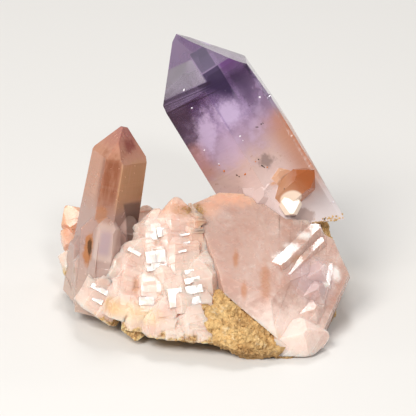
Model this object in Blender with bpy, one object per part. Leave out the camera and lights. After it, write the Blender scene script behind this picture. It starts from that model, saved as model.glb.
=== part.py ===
"""Amethyst cluster: one large violet point, a slim peach point and a bank of milky quartz on a piece of ochre rock.

X runs to the right, Y to the back and Z up. The origin is on the table, in the flat patch that the rock rests on.
"""

import math
import random

import bmesh
import bpy
from mathutils import Matrix, Vector, noise

MM = 0.001
GAP = 0.0003  # kept between every two pieces

# Quartz habit: a pyramid face's normal leans this far from the length of the crystal.
PYRAMID_LEAN = math.radians(51.8)
FRONT = Vector((0.0, -0.914, 0.407))  # turns are measured from here, a raking view of the front

# Large violet point
VIOLET_FOOT = (18.0, 14.4, 6.8)
VIOLET_TIP = (-5.1, 26.4, 42.5)
VIOLET_RADIUS = 9.8
VIOLET_WORN_TIP = 0.8
VIOLET_TURN = -39.0
# Each of these cuts is a point on it and its outward normal.
VIOLET_UNDERSIDE = (Vector((21.2, 9.4, 13.4)), Vector((0.04, -0.28, -0.96)))  # it ends obliquely above the rock
VIOLET_FLANK = (Vector((13.9, 20.0, 29.3)), Vector((0.87, 0.20, 0.45)))  # its right side, worn in a little
VIOLET_SHOULDER = (Vector((7.9, 29.2, 35.1)), Vector((0.82, 0.15, 0.56)))  # its upper right side, worn more

# Slim peach point
PEACH_FOOT = (-20.0, 4.8, -3.9)
PEACH_TIP = (-13.7, 10.9, 30.7)
PEACH_RADIUS = 4.8
PEACH_TURN = -4.0
PEACH_WORN_TIP = 0.4
PEACH_UNDERSIDE = (Vector((-20.0, 0.0, 1.5)), Vector((-0.12, -0.05, -1.0)))

# Broad milky crystal on the right, and the ledges on its shoulder
BLOCK_HEART = (10.0, 1.0, 6.0)
LEDGE_START = Vector((12.0, -3.6, 10.0))
LEDGE_SHIFT = Vector((1.5, -0.7, -1.35))
SHOULDER_ROOT = Vector((15.2, -2.6, 5.4))
SHOULDER_TIP = Vector((23.2, 1.6, 8.8))

# The fan's front ends above the table, but for one crystal that narrows to its foot.
FAN_FOOT = 2.6
WEDGE_FOOT = Vector((-11.4, -11.0, 0.7))

# Parallel growth, as shares of a crystal's radius and length
STEP_OUT = 0.2
STEP_DOWN = 0.13

# Rock
ROCK_CENTRE = Vector((1.0, 2.0, 2.2))
ROCK_REACH = (20.0, 26.0, 20.5, 19.0, 20.0, 14.4, 17.8, 24.0)  # from +X round by 45 degrees
ROCK_HEIGHT = 6.4
ROCK_DEPTH = 5.0
ROCK_KNOB = Vector((19.0, 15.8, 0.0))  # under the violet point's foot
ROCK_KNOB_RISE = 8.5
ROCK_KNOB_WIDTH = 6.4
ROCK_SEGMENTS = 60
ROCK_RINGS = 26
ROCK_ROUGHNESS = 1.6
FRONT_LIFT = 2.5  # how far the left front of the underside stands off the table
FRONT_LIFT_EDGE = 6.5  # it starts to rise here, going left
FRONT_DROP = 0.36  # its top falls by this share to the right, under the broad crystal
FRONT_DROP_EDGE = 4.0

ROCK_LUMPS = 0.16  # lumps a millimetre, in the noise that shapes them
ROCK_PITS = 0.42

CRYSTALS_ABOVE_TABLE = 0.4

STOCK = 140.0  # side of the cube that every solid is cut from
WELD = 0.002  # corners nearer than this are one


def reset():
    for item in list(bpy.data.objects):
        bpy.data.objects.remove(item, do_unlink=True)


def collection(name):
    made = bpy.data.collections.new(name)
    bpy.context.scene.collection.children.link(made)
    return made


def material(name, colour, roughness):
    made = bpy.data.materials.new(name)
    made.use_nodes = True
    shader = made.node_tree.nodes["Principled BSDF"]
    shader.inputs["Base Color"].default_value = (*colour, 1.0)
    shader.inputs["Roughness"].default_value = roughness
    shader.inputs["Metallic"].default_value = 0.0
    made.diffuse_color = (*colour, 1.0)
    return made


# A faceted solid is a list of faces, each a point on it and its outward normal, in millimetres.


def crystal(foot, tip, radius, turn=0.0, worn=0.3, uneven=(0.0, 0.4, 0.0, 0.4, 0.0, 0.4), widen=0.0, proud=0.0):
    """The faces of one quartz point.

    `uneven` moves the pyramid faces out, `widen` makes the foot broader and `proud` moves the front side out.
    """
    foot = Vector(foot)
    tip = Vector(tip)
    axis = (tip - foot).normalized()
    toward_front = (FRONT - axis * FRONT.dot(axis)).normalized()
    inner = radius * math.cos(math.radians(30))
    ring = tip - axis * (inner * math.tan(PYRAMID_LEAN))
    faces = [(foot, -axis), (tip - axis * worn, axis)]
    for step in range(6):
        out = Matrix.Rotation(math.radians(turn + 60 * step), 3, axis) @ toward_front
        side = (out + axis * widen).normalized()
        slope = out * math.sin(PYRAMID_LEAN) + axis * math.cos(PYRAMID_LEAN)
        faces.append((ring + out * (inner + (proud if step == 0 else 0.0)), side))
        faces.append((tip + slope * uneven[step], slope))
    return faces


def block(heart, faces):
    """A solid from face directions: turn round from +X, rise above level, and distance from the heart."""
    heart = Vector(heart)
    made = []
    for turn, rise, distance in faces:
        turn = math.radians(turn)
        rise = math.radians(rise)
        normal = Vector((math.cos(rise) * math.cos(turn), math.cos(rise) * math.sin(turn), math.sin(rise)))
        made.append((heart + normal * distance, normal))
    return made


def above_table(faces, height=CRYSTALS_ABOVE_TABLE):
    return faces + [(Vector((0, 0, height)), Vector((0, 0, -1)))]


def solid(faces, clearance=0.0):
    """A bmesh cut from a large cube by every face, each moved out by the clearance."""
    mesh = bmesh.new()
    bmesh.ops.create_cube(mesh, size=STOCK)
    for point, normal in faces:
        cut = bmesh.ops.bisect_plane(
            mesh,
            geom=mesh.verts[:] + mesh.edges[:] + mesh.faces[:],
            plane_co=point + normal * clearance,
            plane_no=normal,
            dist=1e-5,
            clear_outer=True,
        )
        rim = [item for item in cut["geom_cut"] if isinstance(item, bmesh.types.BMEdge)]
        rim = [edge for edge in rim if edge.is_valid and edge.is_boundary]
        if rim:
            bmesh.ops.contextual_create(mesh, geom=rim)
    bmesh.ops.remove_doubles(mesh, verts=mesh.verts[:], dist=WELD)
    bmesh.ops.dissolve_degenerate(mesh, edges=mesh.edges[:], dist=WELD)
    bmesh.ops.recalc_face_normals(mesh, faces=mesh.faces[:])
    bmesh.ops.scale(mesh, vec=(MM, MM, MM), verts=mesh.verts[:])
    return mesh


def as_object(mesh, name, home, finish=None):
    data = bpy.data.meshes.new(name)
    mesh.to_mesh(data)
    mesh.free()
    made = bpy.data.objects.new(name, data)
    home.objects.link(made)
    if finish:
        data.materials.append(finish)
    return made


def bounds(item):
    corners = [item.matrix_world @ vertex.co for vertex in item.data.vertices]
    low = [min(corner[i] for corner in corners) for i in range(3)]
    high = [max(corner[i] for corner in corners) for i in range(3)]
    return low, high


def apart(first, second):
    low_a, high_a = bounds(first)
    low_b, high_b = bounds(second)
    return any(low_a[i] > high_b[i] or low_b[i] > high_a[i] for i in range(3))


def volume(data):
    """The volume a closed mesh holds, or nothing where it is open."""
    mesh = bmesh.new()
    mesh.from_mesh(data)
    closed = all(len(edge.link_faces) == 2 for edge in mesh.edges)
    held = mesh.calc_volume(signed=True) if closed else 0.0
    mesh.free()
    return held


def combine(target, tool, operation):
    """Applies one Boolean of the tool to the target, and removes the tool."""
    before = volume(target.data)
    other = volume(tool.data)
    least = max(before, other) if operation == "UNION" else before - other
    most = before + other if operation == "UNION" else before
    slack = before * 5e-4
    if operation == "UNION" or not apart(target, tool):
        boolean = target.modifiers.new(operation.title(), "BOOLEAN")
        boolean.operation = operation
        boolean.object = tool
        for solver in ("EXACT", "MANIFOLD"):
            boolean.solver = solver
            bpy.context.view_layer.update()
            shaped = target.evaluated_get(bpy.context.evaluated_depsgraph_get())
            data = bpy.data.meshes.new_from_object(shaped)
            if 0 < volume(data) and least - slack <= volume(data) <= most + slack:
                break
        target.modifiers.clear()
        old = target.data
        target.data = data
        data.name = target.name
        bpy.data.meshes.remove(old)
    bpy.data.objects.remove(tool, do_unlink=True)


def keep_largest(item):
    """Drops the crumbs that a neighbour's cut leaves."""
    mesh = bmesh.new()
    mesh.from_mesh(item.data)
    unseen = set(mesh.verts)
    bodies = []
    while unseen:
        edge_of_body = [unseen.pop()]
        body = set(edge_of_body)
        while edge_of_body:
            vertex = edge_of_body.pop()
            for edge in vertex.link_edges:
                other = edge.other_vert(vertex)
                if other in unseen:
                    unseen.remove(other)
                    body.add(other)
                    edge_of_body.append(other)
        bodies.append(body)
    bodies.sort(key=len)
    for body in bodies[:-1]:
        bmesh.ops.delete(mesh, geom=list(body), context="VERTS")
    mesh.to_mesh(item.data)
    mesh.free()


def grown_together(name, home, workshop, finish, pieces):
    """One solid from several that overlap."""
    made = as_object(solid(pieces[0]), name, home, finish)
    for number, faces in enumerate(pieces[1:]):
        combine(made, as_object(solid(faces), f"{name}_{number}", workshop), "UNION")
    return made


def make_room(item, neighbours, workshop):
    """Cuts the item back from its neighbours by the gap."""
    for number, faces in enumerate(neighbours):
        tool = as_object(solid(faces, GAP / MM), f"{item.name}_room_{number}", workshop)
        tool.hide_render = True
        tool.display_type = "WIRE"
        combine(item, tool, "DIFFERENCE")
    keep_largest(item)


def stepped(foot, tip, radius, turn, steps, seed, height=CRYSTALS_ABOVE_TABLE):
    """Parallel growth: one point with ledges down its front, where shorter ones share its directions."""
    dice = random.Random(seed)
    foot = Vector(foot)
    tip = Vector(tip)
    axis = (tip - foot).normalized()
    length = (tip - foot).length
    toward_front = (FRONT - axis * FRONT.dot(axis)).normalized()
    pieces = [crystal(foot, tip, radius, turn)]
    for step in range(1, steps + 1):
        round_by = Matrix.Rotation(math.radians(dice.uniform(-65, 65)), 3, axis)
        shift = round_by @ toward_front * radius * STEP_OUT * (step + dice.uniform(0.0, 0.8))
        drop = length * STEP_DOWN * (step + dice.uniform(-0.3, 0.5))
        size = radius * dice.uniform(0.78, 0.98)
        pieces.append(crystal(foot + shift, tip + shift - axis * drop, size, turn))
    return [above_table(faces, height) for faces in pieces]


def violet_pieces():
    """The large point, ended obliquely at its foot, with the small crystals that grew on it."""
    large = crystal(
        VIOLET_FOOT,
        VIOLET_TIP,
        VIOLET_RADIUS,
        turn=VIOLET_TURN,
        worn=VIOLET_WORN_TIP,
        uneven=(-0.5, 0.7, -0.8, 0.5, -0.1, 0.4),
    )
    large += [(point, normal.normalized()) for point, normal in (VIOLET_UNDERSIDE, VIOLET_FLANK, VIOLET_SHOULDER)]
    orange = crystal((11.2, 11.2, 14.7), (18.7, 7.6, 23.8), 2.6, turn=8.0)
    bright = crystal((14.4, 9.9, 15.7), (14.9, 5.6, 18.5), 2.0, turn=-25.0, worn=1.4)
    pale = crystal((7.3, 11.4, 17.4), (15.2, 11.4, 21.9), 2.2, turn=12.0)
    low = crystal((7.6, 11.4, 14.0), (12.2, 9.6, 20.9), 2.3, turn=30.0)
    spur = crystal((4.2, 16.6, 9.5), (0.8, 16.9, 15.0), 2.1, turn=5.0)
    return [above_table(faces) for faces in (large, orange, bright, pale, low, spur)]


def peach_pieces():
    """The slim point, and the milky crystals along its lower half."""
    slim = crystal(
        PEACH_FOOT,
        PEACH_TIP,
        PEACH_RADIUS,
        turn=PEACH_TURN,
        worn=PEACH_WORN_TIP,
        uneven=(1.3, -0.2, 0.3, 0.2, 0.4, 0.1),
        widen=0.03,
        proud=1.5,
    )
    left = crystal((-21.0, 4.4, -2.5), (-20.0, 7.6, 13.4), 3.4, turn=-10.0)
    front = crystal((-18.6, -0.6, 1.0), (-17.0, 4.6, 18.4), 4.4, turn=-25.0)
    little = crystal((-17.4, -2.6, 8.0), (-16.3, 0.2, 18.4), 2.3, turn=0.0)
    low = crystal((-19.8, 0.8, 0.0), (-19.6, 2.8, 12.0), 3.2, turn=-20.0)
    right = crystal((-14.6, 2.0, 4.0), (-12.6, 5.2, 16.6), 2.8, turn=-10.0)
    point, normal = PEACH_UNDERSIDE
    underside = [(point, normal.normalized())]
    return [faces + underside for faces in (slim, left, front, little, low, right)]


def block_pieces():
    """The broad smooth crystal, the stepped ledge along its right shoulder, and lesser ones round its foot."""
    broad = block(
        BLOCK_HEART,
        (
            (-52.0, 63.5, 6.95),
            (-69.0, 64.5, 6.95),
            (-94.0, 46.0, 9.8),
            (-50.0, 43.0, 8.6),
            (-78.0, 4.0, 19.2),
            (-55.0, -6.0, 18.2),
            (8.0, 22.0, 13.8),
            (-18.0, -12.0, 13.4),
            (35.0, 45.0, 12.7),
            (60.0, 30.0, 12.3),
            (130.0, 30.0, 16.2),
            (90.0, 5.0, 9.6),
            (-160.0, 3.0, 10.2),
            (-158.0, -48.0, 4.9),
            (20.0, -50.0, 9.5),
            (90.0, -50.0, 9.0),
        ),
    )
    pieces = [broad]
    along = Vector((7.2, 10.4, 2.6)).normalized()
    for number in range(4):
        start = LEDGE_START + LEDGE_SHIFT * number
        pieces.append(crystal(start, start + along * (14.5 - 1.5 * number), 1.9, turn=25.0))
    for number in range(3):
        root = SHOULDER_ROOT + Vector((0.0, -2.6, -1.4)) * number
        end = SHOULDER_TIP + Vector((-0.7, -3.6, -2.5)) * number
        pieces.append(crystal(root, end, 4.2 - 0.2 * number, turn=12.0))
    pieces.append(crystal((12.0, -12.9, 0.4), (21.0, -12.4, 2.6), 3.9, turn=10.0))
    return [above_table(faces) for faces in pieces]


def fan_pieces():
    """Milky crystals that fan out from the rock, each of them stepped."""
    pieces = []
    pieces += stepped((-4.6, -5.5, 1.5), (-5.0, 6.9, 19.3), 4.6, 20.0, 5, seed=3)
    pieces += stepped((-9.3, -5.0, 2.2), (-8.2, 5.2, 18.0), 3.8, 5.0, 5, seed=5)
    pieces += stepped((-0.2, -6.8, 1.8), (-2.4, 6.8, 17.9), 3.6, 35.0, 5, seed=8)
    pieces += stepped((-18.0, -3.2, 2.0), (-9.0, -0.2, 15.0), 3.1, 10.0, 4, seed=12)
    pieces += stepped((-14.4, -5.2, 2.2), (-11.0, -1.6, 12.8), 3.0, 0.0, 4, seed=17)
    pieces += stepped((-0.4, -9.0, 1.6), (-1.4, -4.6, 13.0), 3.2, 15.0, 4, seed=21)
    pieces += stepped((-5.4, -9.0, 1.4), (-4.9, -5.4, 11.4), 3.0, -5.0, 4, seed=26)
    pieces += stepped((-10.4, -8.4, 1.4), (-9.6, -5.6, 9.8), 2.8, 10.0, 3, seed=31)
    pieces += stepped((-1.4, -12.8, 0.6), (-2.0, -10.8, 8.4), 3.4, 10.0, 3, seed=52, height=FAN_FOOT)
    pieces += stepped((2.0, -12.6, 0.6), (0.8, -10.8, 7.6), 2.6, 25.0, 2, seed=55, height=FAN_FOOT)
    pieces += stepped((-6.8, -11.2, 1.8), (-6.2, -9.6, 8.6), 3.1, 0.0, 3, seed=58, height=FAN_FOOT)
    wedge = [(WEDGE_FOOT, Vector((-0.55, -0.2, -1.0)).normalized()), (WEDGE_FOOT, Vector((0.6, -0.2, -1.0)).normalized())]
    pieces.append(crystal((-11.6, -9.8, -1.0), (-11.6, -6.0, 7.4), 2.7, turn=25.0) + wedge)
    return pieces


def side_pieces():
    """Short crystals that look out behind the slim point."""
    upper = crystal((-19.0, 14.0, 5.6), (-24.4, 13.6, 14.6), 2.8, turn=0.0)
    middle = crystal((-19.0, 12.6, 4.0), (-25.2, 12.0, 10.6), 2.4, turn=20.0)
    lower = crystal((-18.0, 10.2, 3.0), (-25.6, 7.6, 7.6), 3.3, turn=10.0)
    behind = crystal((-16.8, 14.6, 3.0), (-19.0, 18.6, 12.4), 2.8, turn=15.0)
    return [above_table(faces) for faces in (upper, middle, lower, behind)]


def back_pieces():
    """A row of short crystals along the back of the rock."""
    pieces = []
    pieces += stepped((-8.6, 11.5, 3.0), (-10.6, 16.4, 13.6), 2.9, 0.0, 2, seed=41)
    pieces += stepped((-5.2, 12.5, 3.0), (-5.6, 20.0, 10.8), 3.1, 20.0, 2, seed=44)
    pieces += stepped((-1.2, 12.5, 3.0), (0.6, 20.4, 9.6), 2.6, 35.0, 2, seed=47)
    pieces += stepped((-12.0, 12.0, 3.0), (-14.8, 18.0, 9.4), 2.5, 10.0, 2, seed=50)
    return pieces


def rock(home, finish):
    """Rough rock with lumps and pits, flat where it rests and raised off the table at its left front."""
    mesh = bmesh.new()
    bmesh.ops.create_uvsphere(mesh, u_segments=ROCK_SEGMENTS, v_segments=ROCK_RINGS, radius=1.0)
    for vertex in mesh.verts:
        direction = vertex.co.copy()
        turn = math.atan2(direction.y, direction.x) % math.tau
        place = turn / math.tau * len(ROCK_REACH)
        before = int(place) % len(ROCK_REACH)
        after = (before + 1) % len(ROCK_REACH)
        blend = place - int(place)
        reach = ROCK_REACH[before] * (1 - blend) + ROCK_REACH[after] * blend
        level = math.hypot(direction.x, direction.y)
        outward = level**0.8 * reach
        height = ROCK_HEIGHT if direction.z > 0 else ROCK_DEPTH
        rise = math.copysign(abs(direction.z) ** 0.85, direction.z) * height
        spot = Vector((math.cos(turn) * outward, math.sin(turn) * outward, rise)) + ROCK_CENTRE
        lumps = noise.fractal(spot * ROCK_LUMPS, 0.9, 2.2, 4)
        pits = abs(noise.noise(spot * ROCK_PITS))
        spot += direction.normalized() * (lumps - pits) * ROCK_ROUGHNESS
        front_left = min(max((FRONT_LIFT_EDGE - spot.x) / 7.0, 0.0), 1.0) * min(max((-3.0 - spot.y) / 6.0, 0.0), 1.0)
        spot.z += FRONT_LIFT * front_left * (1.0 if direction.z < 0 else 0.3)
        from_knob = math.hypot(spot.x - ROCK_KNOB.x, spot.y - ROCK_KNOB.y) / ROCK_KNOB_WIDTH
        front_right = min(max(spot.x - FRONT_DROP_EDGE, 0.0), 12.0) * min(max((-6.0 - spot.y) / 4.0, 0.0), 1.0)
        if direction.z > 0:
            spot.z += ROCK_KNOB_RISE * math.exp(-from_knob * from_knob)
            spot.z -= FRONT_DROP * front_right
        vertex.co = spot * MM
    cut = bmesh.ops.bisect_plane(
        mesh,
        geom=mesh.verts[:] + mesh.edges[:] + mesh.faces[:],
        plane_co=(0, 0, 0),
        plane_no=(0, 0, -1),
        clear_outer=True,
    )
    rim = [edge for edge in cut["geom_cut"] if isinstance(edge, bmesh.types.BMEdge) and edge.is_boundary]
    bmesh.ops.contextual_create(mesh, geom=rim)
    bmesh.ops.recalc_face_normals(mesh, faces=mesh.faces[:])
    return as_object(mesh, "matrix", home, finish)


def build():
    reset()
    cluster = collection("amethyst_cluster")
    workshop = collection("cutters")

    violet = material("violet_quartz", (0.44, 0.28, 0.50), 0.06)
    peach = material("peach_quartz", (0.62, 0.36, 0.24), 0.15)
    milky = material("milky_quartz", (0.80, 0.62, 0.56), 0.2)
    ochre = material("ochre_rock", (0.45, 0.28, 0.11), 0.85)

    violet_faces = violet_pieces()
    peach_faces = peach_pieces()
    block_faces = block_pieces()
    fan_faces = fan_pieces()
    side_faces = side_pieces()
    back_faces = back_pieces()

    grown_together("amethyst_point", cluster, workshop, violet, violet_faces)
    grown_together("left_point", cluster, workshop, peach, peach_faces)
    item = grown_together("block_crystals", cluster, workshop, milky, block_faces)
    make_room(item, violet_faces, workshop)
    item = grown_together("fan_crystals", cluster, workshop, milky, fan_faces)
    make_room(item, violet_faces + peach_faces + block_faces, workshop)
    item = grown_together("side_crystals", cluster, workshop, milky, side_faces)
    make_room(item, peach_faces + fan_faces, workshop)
    item = grown_together("back_crystals", cluster, workshop, milky, back_faces)
    make_room(item, violet_faces + peach_faces + block_faces + fan_faces + side_faces, workshop)
    item = rock(cluster, ochre)
    everything = violet_faces + peach_faces + block_faces + fan_faces + side_faces + back_faces
    make_room(item, everything, workshop)


build()
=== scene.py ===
"""Looks of an amethyst cluster: clear violet and peach quartz points and stepped milky crystals on ochre rock.

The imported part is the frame. X runs to the right, Y to the back and Z up, with the table at Z = 0.
Places and sizes are in millimetres, and MM turns them into Blender's metres.
"""

import math
import random

import bmesh
import bpy
from mathutils import Matrix, Vector, noise
from mathutils.bvhtree import BVHTree


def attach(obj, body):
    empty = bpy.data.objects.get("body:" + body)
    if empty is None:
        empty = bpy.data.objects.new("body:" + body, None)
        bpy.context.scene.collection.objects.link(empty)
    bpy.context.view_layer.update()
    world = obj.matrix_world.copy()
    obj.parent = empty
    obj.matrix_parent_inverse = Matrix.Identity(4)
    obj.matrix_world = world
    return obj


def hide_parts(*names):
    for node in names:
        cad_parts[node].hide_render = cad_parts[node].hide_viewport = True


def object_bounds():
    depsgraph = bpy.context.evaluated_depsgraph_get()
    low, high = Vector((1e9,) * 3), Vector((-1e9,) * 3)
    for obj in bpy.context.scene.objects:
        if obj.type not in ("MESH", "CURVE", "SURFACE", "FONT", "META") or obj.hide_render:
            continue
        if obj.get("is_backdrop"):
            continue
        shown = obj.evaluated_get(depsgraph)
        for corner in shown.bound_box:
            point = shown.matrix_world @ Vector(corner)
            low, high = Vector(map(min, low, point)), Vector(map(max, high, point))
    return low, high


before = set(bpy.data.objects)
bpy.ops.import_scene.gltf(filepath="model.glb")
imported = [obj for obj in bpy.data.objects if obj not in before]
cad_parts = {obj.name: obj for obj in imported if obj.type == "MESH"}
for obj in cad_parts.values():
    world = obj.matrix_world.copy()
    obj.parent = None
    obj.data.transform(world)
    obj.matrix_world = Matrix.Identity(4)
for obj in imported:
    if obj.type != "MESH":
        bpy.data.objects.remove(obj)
CAD_LOW, CAD_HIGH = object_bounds()

bl_info = {
    "name": "Amethyst Cluster",
    "version": (1, 0, 0),
    "blender": (4, 5, 0),
    "location": "View3D > Sidebar > Cluster",
    "description": "Dresses the solids of an amethyst cluster with quartz and rock finishes",
    "category": "Object",
}

MM = 0.001

# The camera stands in front, a little above the cluster, and looks at the middle of the frame.
CAMERA_TARGET = Vector((0.5, 7.8, 16.6))
CAMERA_DISTANCE = 450.0
CAMERA_ELEVATION = math.radians(24.0)
FRAME_WIDTH = 71.55
SENSOR = 36.0
LOOKING = Vector((0.0, math.cos(CAMERA_ELEVATION), -math.sin(CAMERA_ELEVATION)))

# Large violet point
VIOLET_FOOT = Vector((18.0, 14.4, 6.8))
VIOLET_TIP = Vector((-5.1, 26.4, 42.5))
VIOLET_AXIS = (VIOLET_TIP - VIOLET_FOOT).normalized()
VIOLET_ACROSS = LOOKING.cross(VIOLET_AXIS).normalized()
VIOLET_FORWARD = VIOLET_ACROSS.cross(VIOLET_AXIS)
VIOLET_RING = 8.7  # where the pyramid meets the prism at the front, below the tip
VIOLET_FRONT = Vector((9.2, 10.8, 24.4))  # a place on its broad front face
VIOLET_FRONT_RIGHT = Vector((0.34, -0.80, 0.49))  # outward normals of three of its faces
VIOLET_FLANK = Vector((0.87, 0.20, 0.45))
VIOLET_SHOULDER = Vector((0.82, 0.15, 0.56))

# Small crystals on its foot: foot, tip and radius
ORANGE_CRYSTAL = (Vector((11.2, 11.2, 14.7)), Vector((18.7, 7.6, 23.8)), 2.6)
# The bright one is painted near-white: a painted highlight
BRIGHT_CRYSTAL = (Vector((14.75, 6.7, 17.8)), Vector((14.9, 5.6, 18.5)), 2.0)
PALE_CRYSTAL = (Vector((8.8, 11.2, 18.6)), Vector((15.2, 11.4, 21.9)), 2.1)

# Slim peach point
PEACH_FOOT = Vector((-20.0, 4.8, -3.9))
PEACH_TIP = Vector((-13.7, 10.9, 30.7))
PEACH_AXIS = (PEACH_TIP - PEACH_FOOT).normalized()
PEACH_ACROSS = LOOKING.cross(PEACH_AXIS).normalized()
PEACH_INNER = (-16.9, -2.8, 14.9)  # an outline seen inside it, low at the front

UP = Vector((0.0, 0.0, 1.0))
UP_THE_FAN = Vector((-0.17, 0.55, 0.82))  # how the milky crystals lean back
DOWN_THE_LEFT = Vector((0.42, 0.45, 0.79))
UP_THE_LEDGES = Vector((-0.50, -0.30, 0.81))

QUARTZ_IOR = 1.544
SEAM = 0.9  # crystals and rock this close to a neighbour are drawn up to it
SEAM_CLOSING = 0.4

# Lamps: directions, and how far away. They glint in the fan's steps and on the block's ledges.
KEY_LAMP = Vector((-0.45, -0.55, 0.75))
GLINT_LAMP = Vector((0.20, -0.74, 0.66)).normalized()
LEFT_LAMP = Vector((-0.97, -0.03, 0.25))
LAMP_DISTANCE = 600.0
STEP_BODY = 1.8  # how deep a bright step reaches into the fan
LEDGE_LAMP = Vector((0.01, 0.60, 0.80))
RIGHT_LAMP = Vector((0.90, 0.35, 0.20))
BRIGHT_STEPS = (  # growth steps of the fan that catch the light: middle, width, height, turn in degrees, columns
    (Vector((-7.3, -0.8, 16.0)), 1.6, 1.6, 6, 2),
    (Vector((-8.7, -0.6, 15.1)), 1.3, 1.6, 4, 1),
    (Vector((-8.3, -3.8, 12.8)), 3.4, 2.4, 4, 2),
    (Vector((-8.1, -5.0, 11.3)), 3.4, 0.9, 6, 3),
    (Vector((-4.9, -10.8, 8.5)), 2.4, 3.2, 3, 1),
    (Vector((-9.8, -9.2, 7.1)), 2.6, 1.3, -3, 1),
    (Vector((-2.1, -8.6, 10.7)), 2.6, 0.9, 12, 3),
    (Vector((-1.8, -9.5, 9.4)), 2.9, 1.6, 8, 3),
    (Vector((-1.9, -11.3, 8.1)), 2.4, 1.3, 12, 4),
    (Vector((-2.6, -7.1, 11.5)), 1.6, 0.8, 6, 2),
    (Vector((-11.9, -3.4, 13.5)), 2.4, 0.7, -35, 1),
    (Vector((-17.7, -6.2, 7.8)), 3.3, 0.9, -35, 1),
    (Vector((-18.1, -6.6, 6.0)), 1.9, 0.9, -35, 1),
    (Vector((-3.6, -0.9, 15.5)), 2.0, 0.4, 8, 2),
    (Vector((-3.4, -2.5, 14.7)), 1.8, 0.35, 8, 3),
    (Vector((-4.2, -4.0, 13.8)), 2.2, 0.4, 8, 2),
)

# Marks: place, half size along X, Y and Z, share and colour
RUST = (188, 128, 90)
PEACH = (236, 182, 152)
BROWN = (164, 118, 74)
YELLOW = (214, 170, 108)
CREAM = (240, 218, 178)
LILAC = (204, 182, 190)
PALE = (246, 226, 216)
# White for painted highlights where the block's ledges and right side glint
PAINTED_GLINT_WHITE = (255, 250, 246)
BLOCK_MARKS = (
    ((5.2, -4.0, 12.3), (0.45, 2.4, 1.3), 0.75, RUST),
    ((6.5, -8.7, 8.9), (0.5, 2.2, 1.2), 0.75, RUST),
    ((10.1, -7.6, 9.9), (0.85, 4.0, 3.2), 0.65, RUST),
    ((15.6, -1.3, 11.2), (1.9, 1.6, 0.6), 0.7, (206, 158, 118)),
    ((3.9, 8.8, 18.4), (5.6, 2.2, 1.7), 0.75, PEACH),
    ((0.4, 5.4, 17.4), (2.2, 2.0, 1.4), 0.6, PEACH),
    ((-1.6, 4.6, 17.7), (1.4, 2.0, 1.0), 0.7, (196, 146, 96)),
    ((18.0, -4.0, 8.6), (3.4, 4.0, 3.8), 0.5, LILAC),
    ((13.0, -14.0, 3.0), (9.0, 7.0, 4.6), 0.8, PALE),
    ((8.0, -14.5, 3.6), (4.0, 2.0, 1.0), 0.5, YELLOW),
    # Painted highlights on the ledges and on the right side
    ((12.9, -2.2, 12.1), (1.2, 1.3, 0.45), 0.8, PAINTED_GLINT_WHITE),
    ((14.8, 0.4, 12.7), (1.2, 1.3, 0.45), 0.8, PAINTED_GLINT_WHITE),
    ((17.0, 3.6, 13.4), (1.2, 1.3, 0.45), 0.8, PAINTED_GLINT_WHITE),
    ((22.2, -1.2, 8.2), (0.8, 1.3, 1.1), 0.8, PAINTED_GLINT_WHITE),
    ((20.4, -3.8, 7.6), (0.8, 0.7, 0.5), 0.7, PAINTED_GLINT_WHITE),
)
FAN_MARKS = (
    ((-15.8, -8.6, 5.7), (1.8, 2.0, 1.3), 0.7, YELLOW),
    ((-12.6, -9.6, 5.2), (2.6, 2.6, 1.6), 0.6, CREAM),
    ((-9.0, -11.6, 5.4), (2.6, 2.0, 1.2), 0.6, CREAM),
    ((-11.6, -6.7, 8.7), (0.6, 1.6, 1.6), 0.7, RUST),
    ((1.3, -11.8, 6.2), (0.6, 1.0, 0.6), 0.85, RUST),
    ((-1.3, -12.9, 6.0), (0.4, 0.9, 0.4), 0.6, RUST),
    ((-4.6, 4.6, 18.2), (4.6, 3.0, 1.7), 0.65, PEACH),
    ((-1.4, 0.6, 15.0), (1.6, 3.4, 3.0), 0.45, PEACH),
    ((-0.6, 2.6, 16.2), (1.3, 2.6, 1.6), 0.8, (232, 172, 136)),
    ((-8.2, -7.8, 8.6), (1.8, 1.6, 1.0), 0.6, (216, 192, 174)),
    ((-3.4, 3.4, 18.2), (2.4, 1.6, 0.9), 0.6, (190, 140, 96)),
    ((-8.4, -2.4, 14.6), (0.35, 1.4, 1.4), 0.5, RUST),
)
SIDE_MARKS = (
    ((-23.9, 12.8, 13.0), (3.4, 5.0, 3.4), 0.75, (224, 160, 118)),
    ((-25.0, 7.3, 4.6), (3.0, 4.0, 1.2), 0.85, YELLOW),
)
FAN_CRUST = 3.1  # the rock clings to the fan's foot up to about here

# Specks on the violet point: place, length and width
DARK_SPECKS = (
    (Vector((8.9, 13.7, 29.2)), 0.9, 0.22),
    (Vector((9.6, 14.3, 29.5)), 0.35, 0.25),
    (Vector((10.0, 14.3, 29.7)), 0.3, 0.2),
    (Vector((9.2, 10.8, 24.4)), 0.4, 0.3),
    (Vector((9.8, 10.5, 23.3)), 0.7, 0.3),
    (Vector((10.2, 10.3, 23.2)), 0.4, 0.25),
    (Vector((5.5, 11.3, 21.3)), 0.4, 0.3),
    (Vector((5.9, 11.1, 21.1)), 0.3, 0.25),
    (Vector((13.8, 7.6, 20.2)), 0.35, 0.3),
    (Vector((20.7, 9.2, 13.9)), 0.35, 0.3),
)
RUSTY_SPECKS = (
    (Vector((3.3, 12.6, 21.5)), 0.55, 0.4),
    (Vector((6.9, 10.4, 21.8)), 0.6, 0.35),
    (Vector((8.4, 11.0, 23.8)), 0.3, 0.25),
    (Vector((2.6, 13.2, 22.4)), 0.3, 0.25),
    (Vector((10.6, 10.8, 22.9)), 0.35, 0.25),
)

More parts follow.
